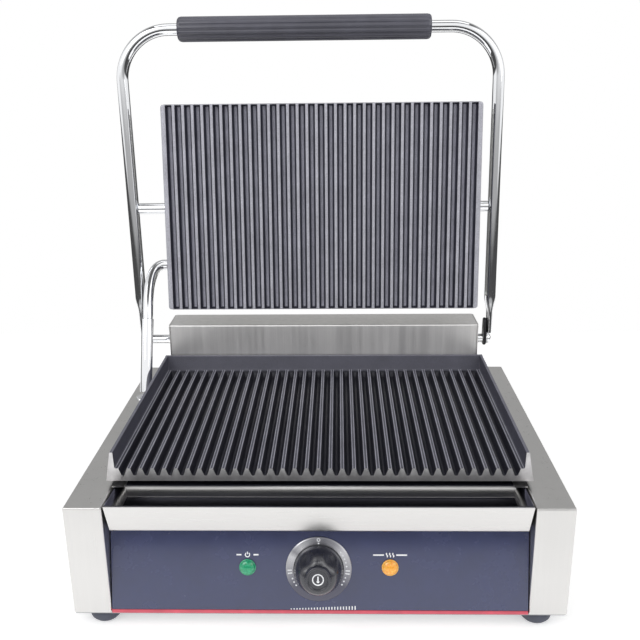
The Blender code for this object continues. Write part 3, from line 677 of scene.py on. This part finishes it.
def upper_grill():
    """The head's casting, ribs upright, with a narrow rim and rounded corners."""
    low, high = span("upper_plate", TILT)
    half_x = (high.x - low.x) / 2
    half_z = (high.z - low.z) / 2
    rim = 0.0008
    corner = 0.0030
    run_out = 0.0030
    soft = 0.0012
    depth_at = groove_columns(UPPER_RIBS, UPPER_PITCH, groove_side(0.0007, 0.0007, 0.0004),
                              half_x - 0.0012)

    def height(x, y):
        drop = depth_at.get(round(x, 6), 0.0)
        inside = half_z - rim - abs(y)
        if inside < 0:
            drop = 0.0
        elif inside < run_out:
            drop = max(drop, -RIB_DEEP * sqrt(1 - (1 - inside / run_out) ** 2))
        near = min(half_x - abs(x), half_z - abs(y))
        if near < soft:
            drop -= soft - sqrt(max(0.0, soft ** 2 - (soft - near) ** 2))
        return FACE_OFFSET + drop

    columns = list(depth_at)
    for side in (-1, 1):
        for inset in (0.0, soft * 0.3, soft):
            columns.append(round(side * (half_x - inset), 6))
    columns = sorted(set(columns))
    ends = (0.0, 0.0004, rim, rim + 0.0002, soft, rim + 0.0008, rim + 0.0018, rim + run_out)
    rows = [-half_z + end for end in ends] + [-0.05, 0.0, 0.05] + [half_z - end for end in reversed(ends)]
    mesh = height_block(columns, rows, height, lambda x, y: (x, y), -high.y)
    for vert in mesh.vertices:
        over = abs(vert.co.x) - half_x + corner
        if over > 0:
            keep = (half_z - corner + sqrt(max(0.0, corner ** 2 - over ** 2))) / half_z
            vert.co.y *= keep
    piece("upper_grill", mesh, "iron_upper", "head", TILT @ OUTWARD, "upper_plate")


# ---------------------------------------------------------------- base

def side_housings():
    for word in ("left", "right"):
        sheet_box(f"side_housing_{word}", f"housing_{word}", (0, 0, -1), 0.0016, 0.0012,
                  "steel_upright", "base")


def hinge_cover():
    """Wrapped cover with a rounded fold front and back, and an end plate at each side."""
    low, high = span("hinge_box", BASE)
    sheet = 0.0012
    seam = 0.0016

    def arch(inset, fold):
        """The (y, z) line up the front, over the top and down the back."""
        front = low.y + inset
        back = high.y - inset
        top = high.z - inset
        return rounded([(front, low.z), (front, top), (back, top), (back, low.z)], fold, 5)

    section = arch(0, 0.0022) + arch(sheet, 0.0010)[::-1]
    rings = [[(x, y, z) for y, z in section] for x in (low.x + seam, high.x - seam)]
    piece("hinge_cover", loft(rings, sharp=25), "steel_cover", "base", BASE, "hinge_box")
    pivot = BASE.inverted() @ middle("hinge_shaft")
    for word, near in (("left", low.x), ("right", high.x - sheet)):
        rings = [[(x, y, z) for y, z in arch(0.0004, 0.0020)] for x in (near, near + sheet)]
        piece(f"hinge_end_{word}", bored_plate(rings, pivot, 0.0063, 40), "steel_upright", "base")


def trim_strip():
    """The coloured strip along the control panel's foot, with a rounded nose."""
    low, high = span("panel_trim", PANEL)
    section = rounded([(high.y, low.z), (low.y, low.z), (low.y, high.z), (high.y, high.z)], 0.0008)
    rings = [[(x, y, z) for y, z in section] for x in (low.x, high.x)]
    piece("trim_strip", loft(rings), "trim", "base", PANEL, "panel_trim")


def drip_pan():
    """Folded trough: hemmed front lip leaning outwards, floor with a soft fold, end walls."""
    low, high = span("drip_tray", BASE)
    half_top = (high.x - low.x) / 2
    half_floor = half_top - 0.0020
    wall_top = high.z - 0.0032
    lip = [(low.y + 0.0030, high.z - 0.0042), (low.y + 0.0026, high.z), (low.y, high.z, 0.0008),
           (low.y + 0.0060, low.z, 0.0022), (high.y, low.z, 0.0022), (high.y, wall_top)]
    path = rounded(lip, 0.0006)
    bm = bmesh.new()

    def half_at(z):
        share = max(0.0, min(1.0, (z - low.z) / (high.z - low.z)))
        return half_floor + (half_top - half_floor) * share

    rows = [[bm.verts.new((side * half_at(z), y, z)) for side in (-1, 1)] for y, z in path]
    for one, two in zip(rows, rows[1:]):
        bm.faces.new((one[0], one[1], two[1], two[0]))
    crest = max(range(len(path)), key=lambda i: path[i][1] - path[i][0])
    for side in (0, 1):
        bm.faces.new([row[side] for row in rows[crest:]])
    bmesh.ops.recalc_face_normals(bm, faces=bm.faces)
    if sum(face.normal.z * face.calc_area() for face in bm.faces) > 0:
        bmesh.ops.reverse_faces(bm, faces=bm.faces)
    made = piece("drip_pan", smooth_mesh(bm, 35), "steel_pan", "tray", BASE, "drip_tray")
    thicken(made, 0.0009)


def feet():
    for end in ("front", "rear"):
        for word in ("left", "right"):
            name = f"foot_{end}_{word}"
            low, high = span(name, BASE)
            radius = (high.x - low.x) / 2
            top = high.z
            profile = rounded([(0, top), (radius * 0.92, top), (radius, top * 0.72),
                               (radius * 0.93, top * 0.3), (radius * 0.70, 0), (0.0052, 0),
                               (0.0048, 0.0026), (0, 0.0026)], 0.0012)
            spot = (low + high) / 2
            piece(f"rubber_{name}", lathe(profile, 48), "foot", "base",
                  at(BASE, spot.x, spot.y, 0), name)


def screw(name, body, place, spot, radius, tall, rim):
    """A low-headed screw that faces backwards; rim is the height of the head's edge."""
    head = rounded([(0, tall), (radius - 0.0010, tall - 0.0002), (radius, rim), (radius, 0), (0, 0)],
                   0.0008)
    piece(name, lathe(head, 28), "zinc", body, at(place, *spot, BACKWARD))


def rear_sheet():
    """Back panel with rows of pressed louvres, six screws and the cord's gland."""
    low, high = span("rear_panel", BASE)
    sheet_box("rear_sheet", "rear_panel", (0, -1, 0), 0.0005, 0.0010, "steel_rear", "base")
    bm = bmesh.new()
    louvre_half = 0.0170
    louvre_out = 0.0032
    sunk = high.y - 0.0002
    for column in range(5):
        x = -0.0200 + column * 0.0440
        for row in range(4):
            z = low.z + 0.0250 + row * 0.0140
            rings = []
            for i in range(13):
                share = -1 + 2 * i / 12
                lift = louvre_out * sqrt(max(0.0, 1 - share ** 4)) + 0.0001
                section = ((sunk, 0), (high.y + lift * 0.3, 0.0012), (high.y + lift * 0.8, 0.0040),
                           (high.y + lift, 0.0062), (sunk, 0.0064))
                rings.append([(x + share * louvre_half, y, z + up) for y, up in section])
            add_loft(bm, rings)
    piece("rear_louvres", closed_mesh(bm), "steel_rear", "base")
    for i in range(6):
        x = low.x + 0.012 + (i % 3) * ((high.x - low.x) / 2 - 0.012)
        z = low.z + 0.0080 if i < 3 else high.z - 0.0080
        screw(f"rear_screw_{i + 1}", "base", BASE, (x, high.y, z), 0.0036, 0.0022, 0.0006)
    gland_low, gland_high = span("cord_gland", BASE)
    gland = (gland_low + gland_high) / 2
    outer = gland_high.y - high.y
    collar = rounded([(0.0052, outer + 0.0002), (0.0094, outer), (0.0100, outer * 0.6),
                      (0.0120, outer * 0.55), (0.0120, 0.0003), (0.0052, 0.0003)], 0.0008)
    piece("cord_entry", lathe(collar, 48), "plastic", "base",
          at(BASE, gland.x, high.y, gland.z, BACKWARD), "cord_gland")


def riser():
    """Chrome riser tube on the left ledge, with a chamfered hexagon nut at its foot."""
    foot = BASE @ Vector((-0.1862, 0.2140, 0.1124))
    top = BASE @ Vector((-0.1862, 0.2500, 0.1910))
    bore = 0.0051
    outer = 0.0062
    start_at = 0.0090
    nut_r = 0.0098
    way = (top - foot).normalized()
    place = Matrix.Translation(foot) @ way.to_track_quat("Z", "Y").to_matrix().to_4x4()
    length = (top - foot).length
    profile = rounded([(bore, length - 0.0004), (outer, length), (outer, start_at), (bore, start_at),
                       (bore, length - 0.0004)], 0.0005, 3)
    piece("riser_tube", lathe(profile[:-1], 56), "chrome", "base", place, "conduit_riser")
    rings = [circle(nut_r * size, z, 6) for z, size in ((0.0001, 0.94), (0.0007, 1.0), (0.0043, 1.0),
                                                        (0.0050, 0.94))]
    nut = piece("riser_lock_nut", loft(rings, sharp=20), "chrome", "base",
                Matrix.Translation(foot), "riser_nut")
    round_edges(nut, 0.0002, 2, 25)
    return top, way


# ---------------------------------------------------------------- controls

KNOB_UP = 0.0383
LAMP_UP = 0.0396
LAMP_SPREAD = 0.0589
DIAL_R = 0.0272
INK = 0.00012                   # how far a printed mark stands out
KNOB_R = 0.0209
BOSS_R = 0.0108
KNOB_TALL = 0.0248
DIAL_FACE = at(PANEL, 0, 0, KNOB_UP, OUTWARD)


def lamps():
    lens = rounded([(0, 0.0042), (0.0038, 0.0038, 0.0010), (0.0058, 0.0024), (0.0062, 0.0012),
                    (0.0069, 0.0010), (0.0069, 0.0003), (0, 0.0003)], 0.0005)
    for x, name, look, slot in ((-LAMP_SPREAD, "lamp_power", "green", "green_lens"),
                                (LAMP_SPREAD, "lamp_ready", "amber", "amber_lens")):
        piece(f"lens_{name}", lathe(lens, 48), look, "base",
              at(PANEL, x, 0, LAMP_UP, OUTWARD), name)


def dial_ring():
    profile = rounded([(0.0056, 0.0003), (0.0056, 0.0013), (DIAL_R - 0.0008, 0.0014),
                       (DIAL_R, 0.0009), (DIAL_R, 0.0003)], 0.0003, 3)
    piece("dial_ring", lathe(profile, 128), "dial", "base", DIAL_FACE, "dial_plate")


def stroke(bm, path, width, thick, loop=False):
    """A flat printed line along a path in the XY plane, from z = 0 up."""
    points = [Vector((*point, 0)) for point in path]
    count = len(points)
    rings = []
    for i, point in enumerate(points):
        before = points[i - 1] if i or loop else point
        after = points[(i + 1) % count] if i < count - 1 or loop else point
        way = (after - before).normalized()
        side = Vector((-way.y, way.x, 0)) * width / 2
        top = Vector((0, 0, thick))
        rings.append([point + side, point - side, point - side + top, point + side + top])
    add_loft(bm, rings, loop)


def dot(bm, x, y, radius, thick):
    rings = []
    for z, size in ((0, radius), (thick, radius * 0.9)):
        rings.append([(x + px, y + py, z) for px, py, _ in circle(size, 0, 14)])
    add_loft(bm, rings)


def bow(x, y, radius, begin, end, count=24):
    turns = [begin + (end - begin) * i / count for i in range(count + 1)]
    return [(x + radius * cos(turn), y + radius * sin(turn)) for turn in turns]


def dial_marks():
    """Off mark at the top, and heat dots with a double bar down each side."""
    bm = bmesh.new()
    ring = [(px, py + 0.0248) for px, py, _ in circle(0.0012, 0, 20)]
    stroke(bm, ring, 0.0006, INK, loop=True)
    dot(bm, 0, 0.0218, 0.0008, INK)
    for clock in (52, 60, 68, 76, 84, 108, 116, 124, 234, 242, 250):
        turn = radians(clock)
        dot(bm, sin(turn) * 0.0231, cos(turn) * 0.0231, 0.00075, INK)
    for clock in (93, 99, 262, 268):
        way = (sin(radians(clock)), cos(radians(clock)))
        stroke(bm, [(way[0] * r, way[1] * r) for r in (0.0222, 0.0258)], 0.0012, INK)
    piece("dial_marks", closed_mesh(bm), "ink", "base", at(DIAL_FACE, 0, 0, 0.00142))


def panel_marks():
    """Plain signs: power and heat over the lamps, a rising scale under the knob."""
    bm = bmesh.new()
    up = 0.0117
    x = -LAMP_SPREAD
    stroke(bm, bow(x, up, 0.0018, radians(125), radians(415)), 0.0008, INK)
    stroke(bm, [(x, up + 0.0004), (x, up + 0.0026)], 0.0008, INK)
    x = LAMP_SPREAD
    for lane in (-0.0026, 0, 0.0026):
        wave = [(x + lane + 0.0005 * sin(i * 2 * pi / 12), up - 0.0018 + i * 0.0003) for i in range(13)]
        stroke(bm, wave, 0.0009, INK)
    for centre, reach in ((-LAMP_SPREAD, 0.0092), (LAMP_SPREAD, 0.0140)):
        for side in (-1, 1):
            stroke(bm, [(centre + side * 0.0050, up), (centre + side * reach, up)], 0.0012, INK)
    ticks = 23
    for i in range(ticks):
        share = i / (ticks - 1)
        spot = -0.0230 + 0.0530 * share
        stroke(bm, [(spot, -0.0348), (spot, -0.0348 + 0.0010 + 0.0022 * share)], 0.0009, INK)
    piece("panel_marks", closed_mesh(bm), "ink", "base", at(DIAL_FACE, 0, 0, 0.00005))


def knob_height(radius, turn):
    """How far the knob stands out of the panel at a polar place; turn is anticlockwise from +X."""
    slope_end = KNOB_R - 0.0004
    if radius >= slope_end:
        return 0.0024
    slope = min(1.0, max(0.0, (radius - 0.0040) / (slope_end - 0.0040)))
    body = 0.0215 - 0.0035 * slope ** 2 - 0.0135 * max(0.0, (slope - 0.45) / 0.55) ** 2.2
    for centre in (radians(90 + 41), radians(90 - 41)):
        away = atan2(sin(turn - centre), cos(turn - centre))
        across = (radius - 0.0158) / 0.0036
        body -= 0.0052 * exp(-across ** 2 - (away / 0.36) ** 2)
    ridge = abs(radius * cos(turn))
    if sin(turn) > 0 and 0.0008 < ridge < 0.0018 and radius > BOSS_R:
        body += 0.0004
    if radius < BOSS_R:
        rise = min(1.0, (BOSS_R - radius) / 0.0010)
        body += (KNOB_TALL - body) * (1 - (1 - rise) ** 2)
        if radius < 0.0082:
            body -= 0.0010 * min(1.0, (0.0082 - radius) / 0.0005)
    return body


def control_knob():
    radii = [0.0, 0.0040, 0.0070, 0.0077, 0.0080, 0.0083, 0.0090, 0.0098, 0.0101, 0.0104, 0.0108, 0.0112]
    radii += [0.0112 + (0.0205 - 0.0112) * i / 13 for i in range(1, 14)] + [0.0207, KNOB_R]
    steps = 192
    rings = []
    for radius in radii:
        ring = circle(radius, 0, steps)
        rings.append([(x, y, knob_height(radius, atan2(y, x))) for x, y, _ in ring])
    socket = 0.0036
    rings += [circle(radius, z, steps) for radius, z in ((KNOB_R, 0.0021), (socket, 0.0021),
                                                         (socket, 0.0100), (0, 0.0100))]
    mesh = loft(rings, sharp=60)
    piece("control_knob", mesh, "knob", "dial_knob", DIAL_FACE, "knob")
    bm = bmesh.new()
    ring = [(px, py) for px, py, _ in circle(0.0043, 0, 40)]
    mark = 0.00015
    stroke(bm, ring, 0.0009, mark, loop=True)
    stroke(bm, [(0, -0.0012), (0, 0.0028)], 0.0011, mark)
    dot(bm, 0, -0.0016, 0.0011, mark)
    piece("knob_mark", closed_mesh(bm), "ink", "dial_knob", at(DIAL_FACE, 0, 0, 0.02382))


# ---------------------------------------------------------------- arms

GRIP_FLUTES = 14


def arm_tube():
    """U-shaped chrome tube: even arcs at its corners, lower ends pressed flat for the straps."""
    low, high = span("handle_frame", LIFT)
    radius = 0.0060
    bridge = high.z - radius
    corner = 0.0500
    press_end = 0.0460
    press_blend = 0.0160
    straight = bridge - corner
    sides = ((-1, -0.2000, low.x + radius), (1, 0.1826, high.x - radius))
    legs = []
    for side, foot_x, top_x in sides:
        top = Vector((top_x, 0, straight))
        ups = [low.z] + [0.0120 + 0.0045 * i for i in range(9)] + [0.10, 0.16, 0.22]
        leg = [Vector((foot_x + (top_x - foot_x) * up / straight, 0, up)) for up in ups]
        inner_x = top_x - side * corner
        legs.append(leg + arc_points((inner_x, 0, straight), top, (inner_x, 0, bridge), 20))
    mesh = tube(legs[0] + legs[1][::-1], radius, 40, end_round=0.0008)
    for vert in mesh.vertices:
        press = max(0.0, min(1.0, (press_end - vert.co.z) / press_blend))
        press = press * press * (3 - 2 * press)
        if press:
            _, foot_x, top_x = sides[vert.co.x > 0]
            spine = foot_x + (top_x - foot_x) * vert.co.z / straight
            vert.co.x = spine + (vert.co.x - spine) * (1 - 0.5 * press)
            vert.co.y *= 1 + 0.28 * press
    piece("arm_tube", mesh, "chrome", "arms", LIFT, "handle_frame")


def fluted_grip():
    low, high = span("grip", LIFT)
    centre = (low + high) / 2
    radius = (high.z - low.z) / 2
    sides = GRIP_FLUTES * 8
    end = ((0.0, 0.0, 0.66), (0.0004, 0.0, 0.84), (0.0016, 0.3, 0.95), (0.0040, 1.0, 1.0))
    stations = [(low.x + inset, flute, size) for inset, flute, size in end]
    stations += [(low.x + (high.x - low.x) * i / 6, 1.0, 1.0) for i in range(1, 6)]
    stations += [(high.x - inset, flute, size) for inset, flute, size in reversed(end)]

    def ring(x, flute, size):
        points = []
        for turn in even_turns(sides):
            dip = 0.0010 * flute * (0.5 - 0.5 * cos(GRIP_FLUTES * turn)) ** 2
            reach = radius * size - dip
            points.append((x, centre.y + reach * cos(turn), centre.z + reach * sin(turn)))
        return points

    rings = [ring(*station) for station in stations]
    bore = 0.0063 / radius
    rings += [ring(high.x, 0.0, bore), ring(low.x, 0.0, bore)]
    piece("grip_sleeve", loft(rings, loop=True, sharp=50), "grip", "arms", LIFT, "grip")


def turned_on_x(name, node_name, outline, side=1):
    """A chrome piece turned about X; outline(thick, radius) is its profile, from the inner end out."""
    low, high = span(node_name, LIFT)
    spot = (low + high) / 2
    profile = outline(high.x - low.x, (high.z - low.z) / 2)
    piece(name, lathe(profile, 48), "chrome", "arms",
          at(LIFT, low.x if side > 0 else high.x, spot.y, spot.z, TO_RIGHT if side > 0 else TO_LEFT),
          node_name)


def ring_outline(bore, soft):
    """The outline of a ring with the given bore and softened edges, for turned_on_x."""
    return lambda thick, radius: rounded([(bore, 0), (radius, 0), (radius, thick), (bore, thick)], soft, 3)


def dome_outline(tall, radius):
    bore = 0.0050
    collar = 0.0012
    skirt = 0.0016
    dome = [(radius * 0.93 * cos(pi / 2 * i / 8), skirt + (tall - skirt) * sin(pi / 2 * i / 8))
            for i in range(8)]
    return [(0, 0.0028), (bore, 0.0028), (bore, 0), (radius, 0), (radius, collar), *dome, (0, tall)]


def shafts():
    for name, node_name in (("pivot_shaft", "hinge_shaft"), ("cross_rod", "head_rod")):
        turned_on_x(name, node_name, ring_outline(0, 0.0006))
    for side, word in ((-1, "left"), (1, "right")):
        turned_on_x(f"rod_collar_{word}", f"collar_{word}", ring_outline(0.0058, 0.0007), side)
        turned_on_x(f"shaft_washer_{word}", f"washer_{word}", ring_outline(0.0050, 0.0004), side)
    turned_on_x("acorn_nut", "dome_nut", dome_outline)


def straps():
    """Straps at the arms' feet, with softened edges and an eye for the shaft."""
    soft = 0.0006
    tip = 0.0040
    for word in ("left", "right"):
        low, high = span(f"lug_{word}", LIFT)
        eye = (high.y - low.y) / 2
        outline = [(-eye * cos(pi * i / 24), -eye * sin(pi * i / 24)) for i in range(25)]
        outline += [(tip * cos(pi * i / 12), high.z - tip + tip * sin(pi * i / 12)) for i in range(13)]
        rings = []
        for x, inset in ((low.x, soft), (low.x + soft, 0), (high.x - soft, 0), (high.x, soft)):
            size = 1 - inset / eye
            rings.append([(x, y * size, z * (size if z < high.z - tip else 1 - inset / high.z))
                          for y, z in outline])
        piece(f"arm_strap_{word}", bored_plate(rings, Vector(), 0.0050, 32), "dark_steel", "arms",
              LIFT, f"lug_{word}")


# ---------------------------------------------------------------- head

def head_cover():
    """Folded cover over the head's back, with its corner screws."""
    high = span("upper_housing", TILT)[1]
    sheet_box("head_cover", "upper_housing", (0, -1, 0), 0.0050, 0.0012, "steel_rear", "head",
              TILT)
    for i in range(4):
        x = (-1 if i % 2 else 1) * (high.x - 0.0180)
        z = (-1 if i < 2 else 1) * (high.z - 0.0180)
        screw(f"head_screw_{i + 1}", "head", TILT, (x, high.y, z), 0.0038, 0.0018, 0.0004)


def conduit(top, way):
    """Gland on the head, and the conduit from it round a bend into the riser's top."""
    low, high = span("conduit_gland", TILT)
    face = -0.1595
    bore = 0.0056
    outer = 0.0078
    nut_bore = 0.0060
    tail = -0.0050
    gland_z = (low.z + high.z) / 2
    length = face - low.x
    profile = rounded([(bore, tail), (bore, length), (0.0072, length), (outer, length - 0.0014),
                       (outer, 0.0003), (nut_bore, 0.0003), (nut_bore, tail)], 0.0004, 3)
    piece("conduit_ferrule", lathe(profile, 48), "chrome", "head",
          at(TILT, face, 0, gland_z, TO_LEFT), "conduit_gland")
    begin = TILT @ Vector((face - length - 0.0003, 0, gland_z))
    end = top + way * 0.0003
    stub = 0.0030
    left = Vector((-1, 0, 0))
    first = begin + left * stub
    last = end + way * stub
    hook = (first, first + left * 0.0200, last + way * 0.0140, last)
    count = 96
    path = [begin]
    for i in range(count + 1):
        t = i / count
        path.append(hook[0] * (1 - t) ** 3 + hook[1] * 3 * t * (1 - t) ** 2
                    + hook[2] * 3 * t ** 2 * (1 - t) + hook[3] * t ** 3)
    path.append(end)
    radius = 0.0054
    split = 14
    upper = path[:split + 1]
    lower = path[split:]
    made = piece("conduit_upper", tube(upper, radius), "chrome", None, Matrix())
    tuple(upper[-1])
    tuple(upper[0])
    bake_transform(made)
    made = piece("conduit_lower", tube(lower, radius), "chrome", None, Matrix(),
                 "conduit_hose")
    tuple(lower[-1])
    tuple(lower[0])
    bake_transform(made)


# ---------------------------------------------------------------- CAD nodes that stay

KEPT = {
    "zinc": ("bottom_plate", "heat_shield", "bearer_left", "bearer_right", "thermostat", "knob_spindle"),
    "steel_across": ("tray_rail_left", "tray_rail_right"),
    "panel": ("control_panel",),
    "nylon": ("terminal_block", "bush_left", "bush_right", "rod_bush_left", "rod_bush_right"),
    "element": ("lower_element", "upper_element"),
    "spring": ("spring_left", "spring_right"),
}


def dress_kept_nodes():
    for look, names in KEPT.items():
        for name in names:
            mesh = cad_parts[name].data
            for i in range(len(mesh.materials)):
                mesh.materials[i] = LOOKS[look]
            if not mesh.materials:
                mesh.materials.append(LOOKS[look])


# ---------------------------------------------------------------- studio

def add_floor():
    """Pale floor under the grill and in front of it."""
    bm = bmesh.new()
    corners = [(-0.75, -0.85, 0), (0.75, -0.85, 0), (0.75, 0.60, 0), (-0.75, 0.60, 0)]
    bm.faces.new([bm.verts.new(corner) for corner in corners])
    mesh = bpy.data.meshes.new("floor")
    bm.to_mesh(mesh)
    bm.free()
    floor = placed("floor", mesh)
    made, place = start("floor", (0.80, 0.80, 0.80), 0.7, Emission_Strength=0.44,
                        Emission_Color=(1, 1, 1, 1))
    cloud = noise(place, 3.0, 2.0, 0.5)
    tone = mixed(cloud, (0.79, 0.79, 0.79), (0.81, 0.81, 0.81))
    feed(made.node_tree.nodes["Principled BSDF"].inputs["Base Color"], tone)
    mesh.materials.append(made)


def add_light(name, spot, aim, size, watts):
    lamp = bpy.data.lights.new(name, "AREA")
    lamp.shape = "RECTANGLE"
    lamp.size, lamp.size_y = size
    lamp.energy = watts
    made = placed(name, lamp)
    made.location = spot
    made.rotation_euler = (Vector(aim) - Vector(spot)).to_track_quat("-Z", "Y").to_euler()


def add_world():
    """White surround for the view; banks of light and dark for light and reflections."""
    world = bpy.data.worlds.new("studio")
    bpy.context.scene.world = world
    world.use_nodes = True
    tree = world.node_tree
    tree.nodes.clear()
    way = node("TexCoord", tree=tree).outputs["Generated"]
    axes = node("SeparateXYZ", Vector=way).outputs
    rise = spread(axes["Z"], 0.0, 1.0, -1.0, 1.0)
    ahead = ramp(rise, greys(((-0.03, 0.07), (0.02, 0.40), (0.12, 0.45), (0.22, 1.0),
                                    (0.80, 1.0), (0.88, 0.12)), -1, 1))
    behind = ramp(rise, greys(((-0.03, 0.07), (0.02, 0.42), (0.76, 0.48), (0.84, 0.12)), -1, 1))
    sides = ramp(rise, greys(((-0.03, 0.07), (0.02, 1.0), (0.76, 1.0), (0.86, 0.15)), -1, 1))
    depth = mixed(spread(axes["Y"], 0.0, 1.0, -0.12, 0.12), ahead, behind)
    wide = spread(maths("ABSOLUTE", axes["X"]), 0.0, 1.0, 0.72, 0.86)
    lit = mixed(wide, depth, sides)
    seen = node("LightPath", tree=tree).outputs["Is Camera Ray"]
    surround = node("Background", Color=lit, Strength=1.0)
    white = node("Background", tree=tree, Color=(1, 1, 1, 1), Strength=1.0)
    both = node("MixShader", Fac=seen)
    for socket, shade in zip(both.inputs[1:], (surround, white)):
        tree.links.new(shade.outputs[0], socket)
    node("OutputWorld", Surface=both.outputs[0])


def add_camera(spot, pitch, yaw, roll):
    lens = bpy.data.cameras.new("camera")
    lens.lens = 45.15
    lens.sensor_width = 36.0
    lens.clip_start = 0.01
    made = placed("camera", lens)
    forward = Vector((-sin(yaw) * cos(pitch), cos(yaw) * cos(pitch), -sin(pitch)))
    level = Vector((cos(yaw), sin(yaw), 0))
    upright = level.cross(forward)
    right = cos(roll) * level + sin(roll) * upright
    up = -sin(roll) * level + cos(roll) * upright
    turn = Matrix((right, up, -forward)).transposed().to_4x4()
    made.matrix_world = Matrix.Translation(BASE @ Vector(spot)) @ turn
    bpy.context.scene.camera = made


add_camera((0.0177768, -0.5597924, 0.4508281), pitch=0.3125, yaw=0.0252, roll=-0.0117)
dress_kept_nodes()
side_housings()
hinge_cover()
trim_strip()
drip_pan()
feet()
rear_sheet()
lower_grill()
upper_grill()
lamps()
dial_ring()
dial_marks()
panel_marks()
control_knob()
arm_tube()
fluted_grip()
shafts()
straps()
head_cover()
conduit(*riser())
add_floor()
add_world()
add_light("key", (-1.1, -1.0, 1.5), (0, 0, 0.2), (1.2, 1.2), 11.0)
add_light("fill", (1.3, -0.6, 1.2), (0, 0, 0.2), (1.0, 1.2), 5.0)
add_light("top", (0.0, 0.3, 1.9), (0, 0, 0.1), (1.6, 1.0), 6.0)
bpy.context.scene.view_settings.view_transform = "Standard"
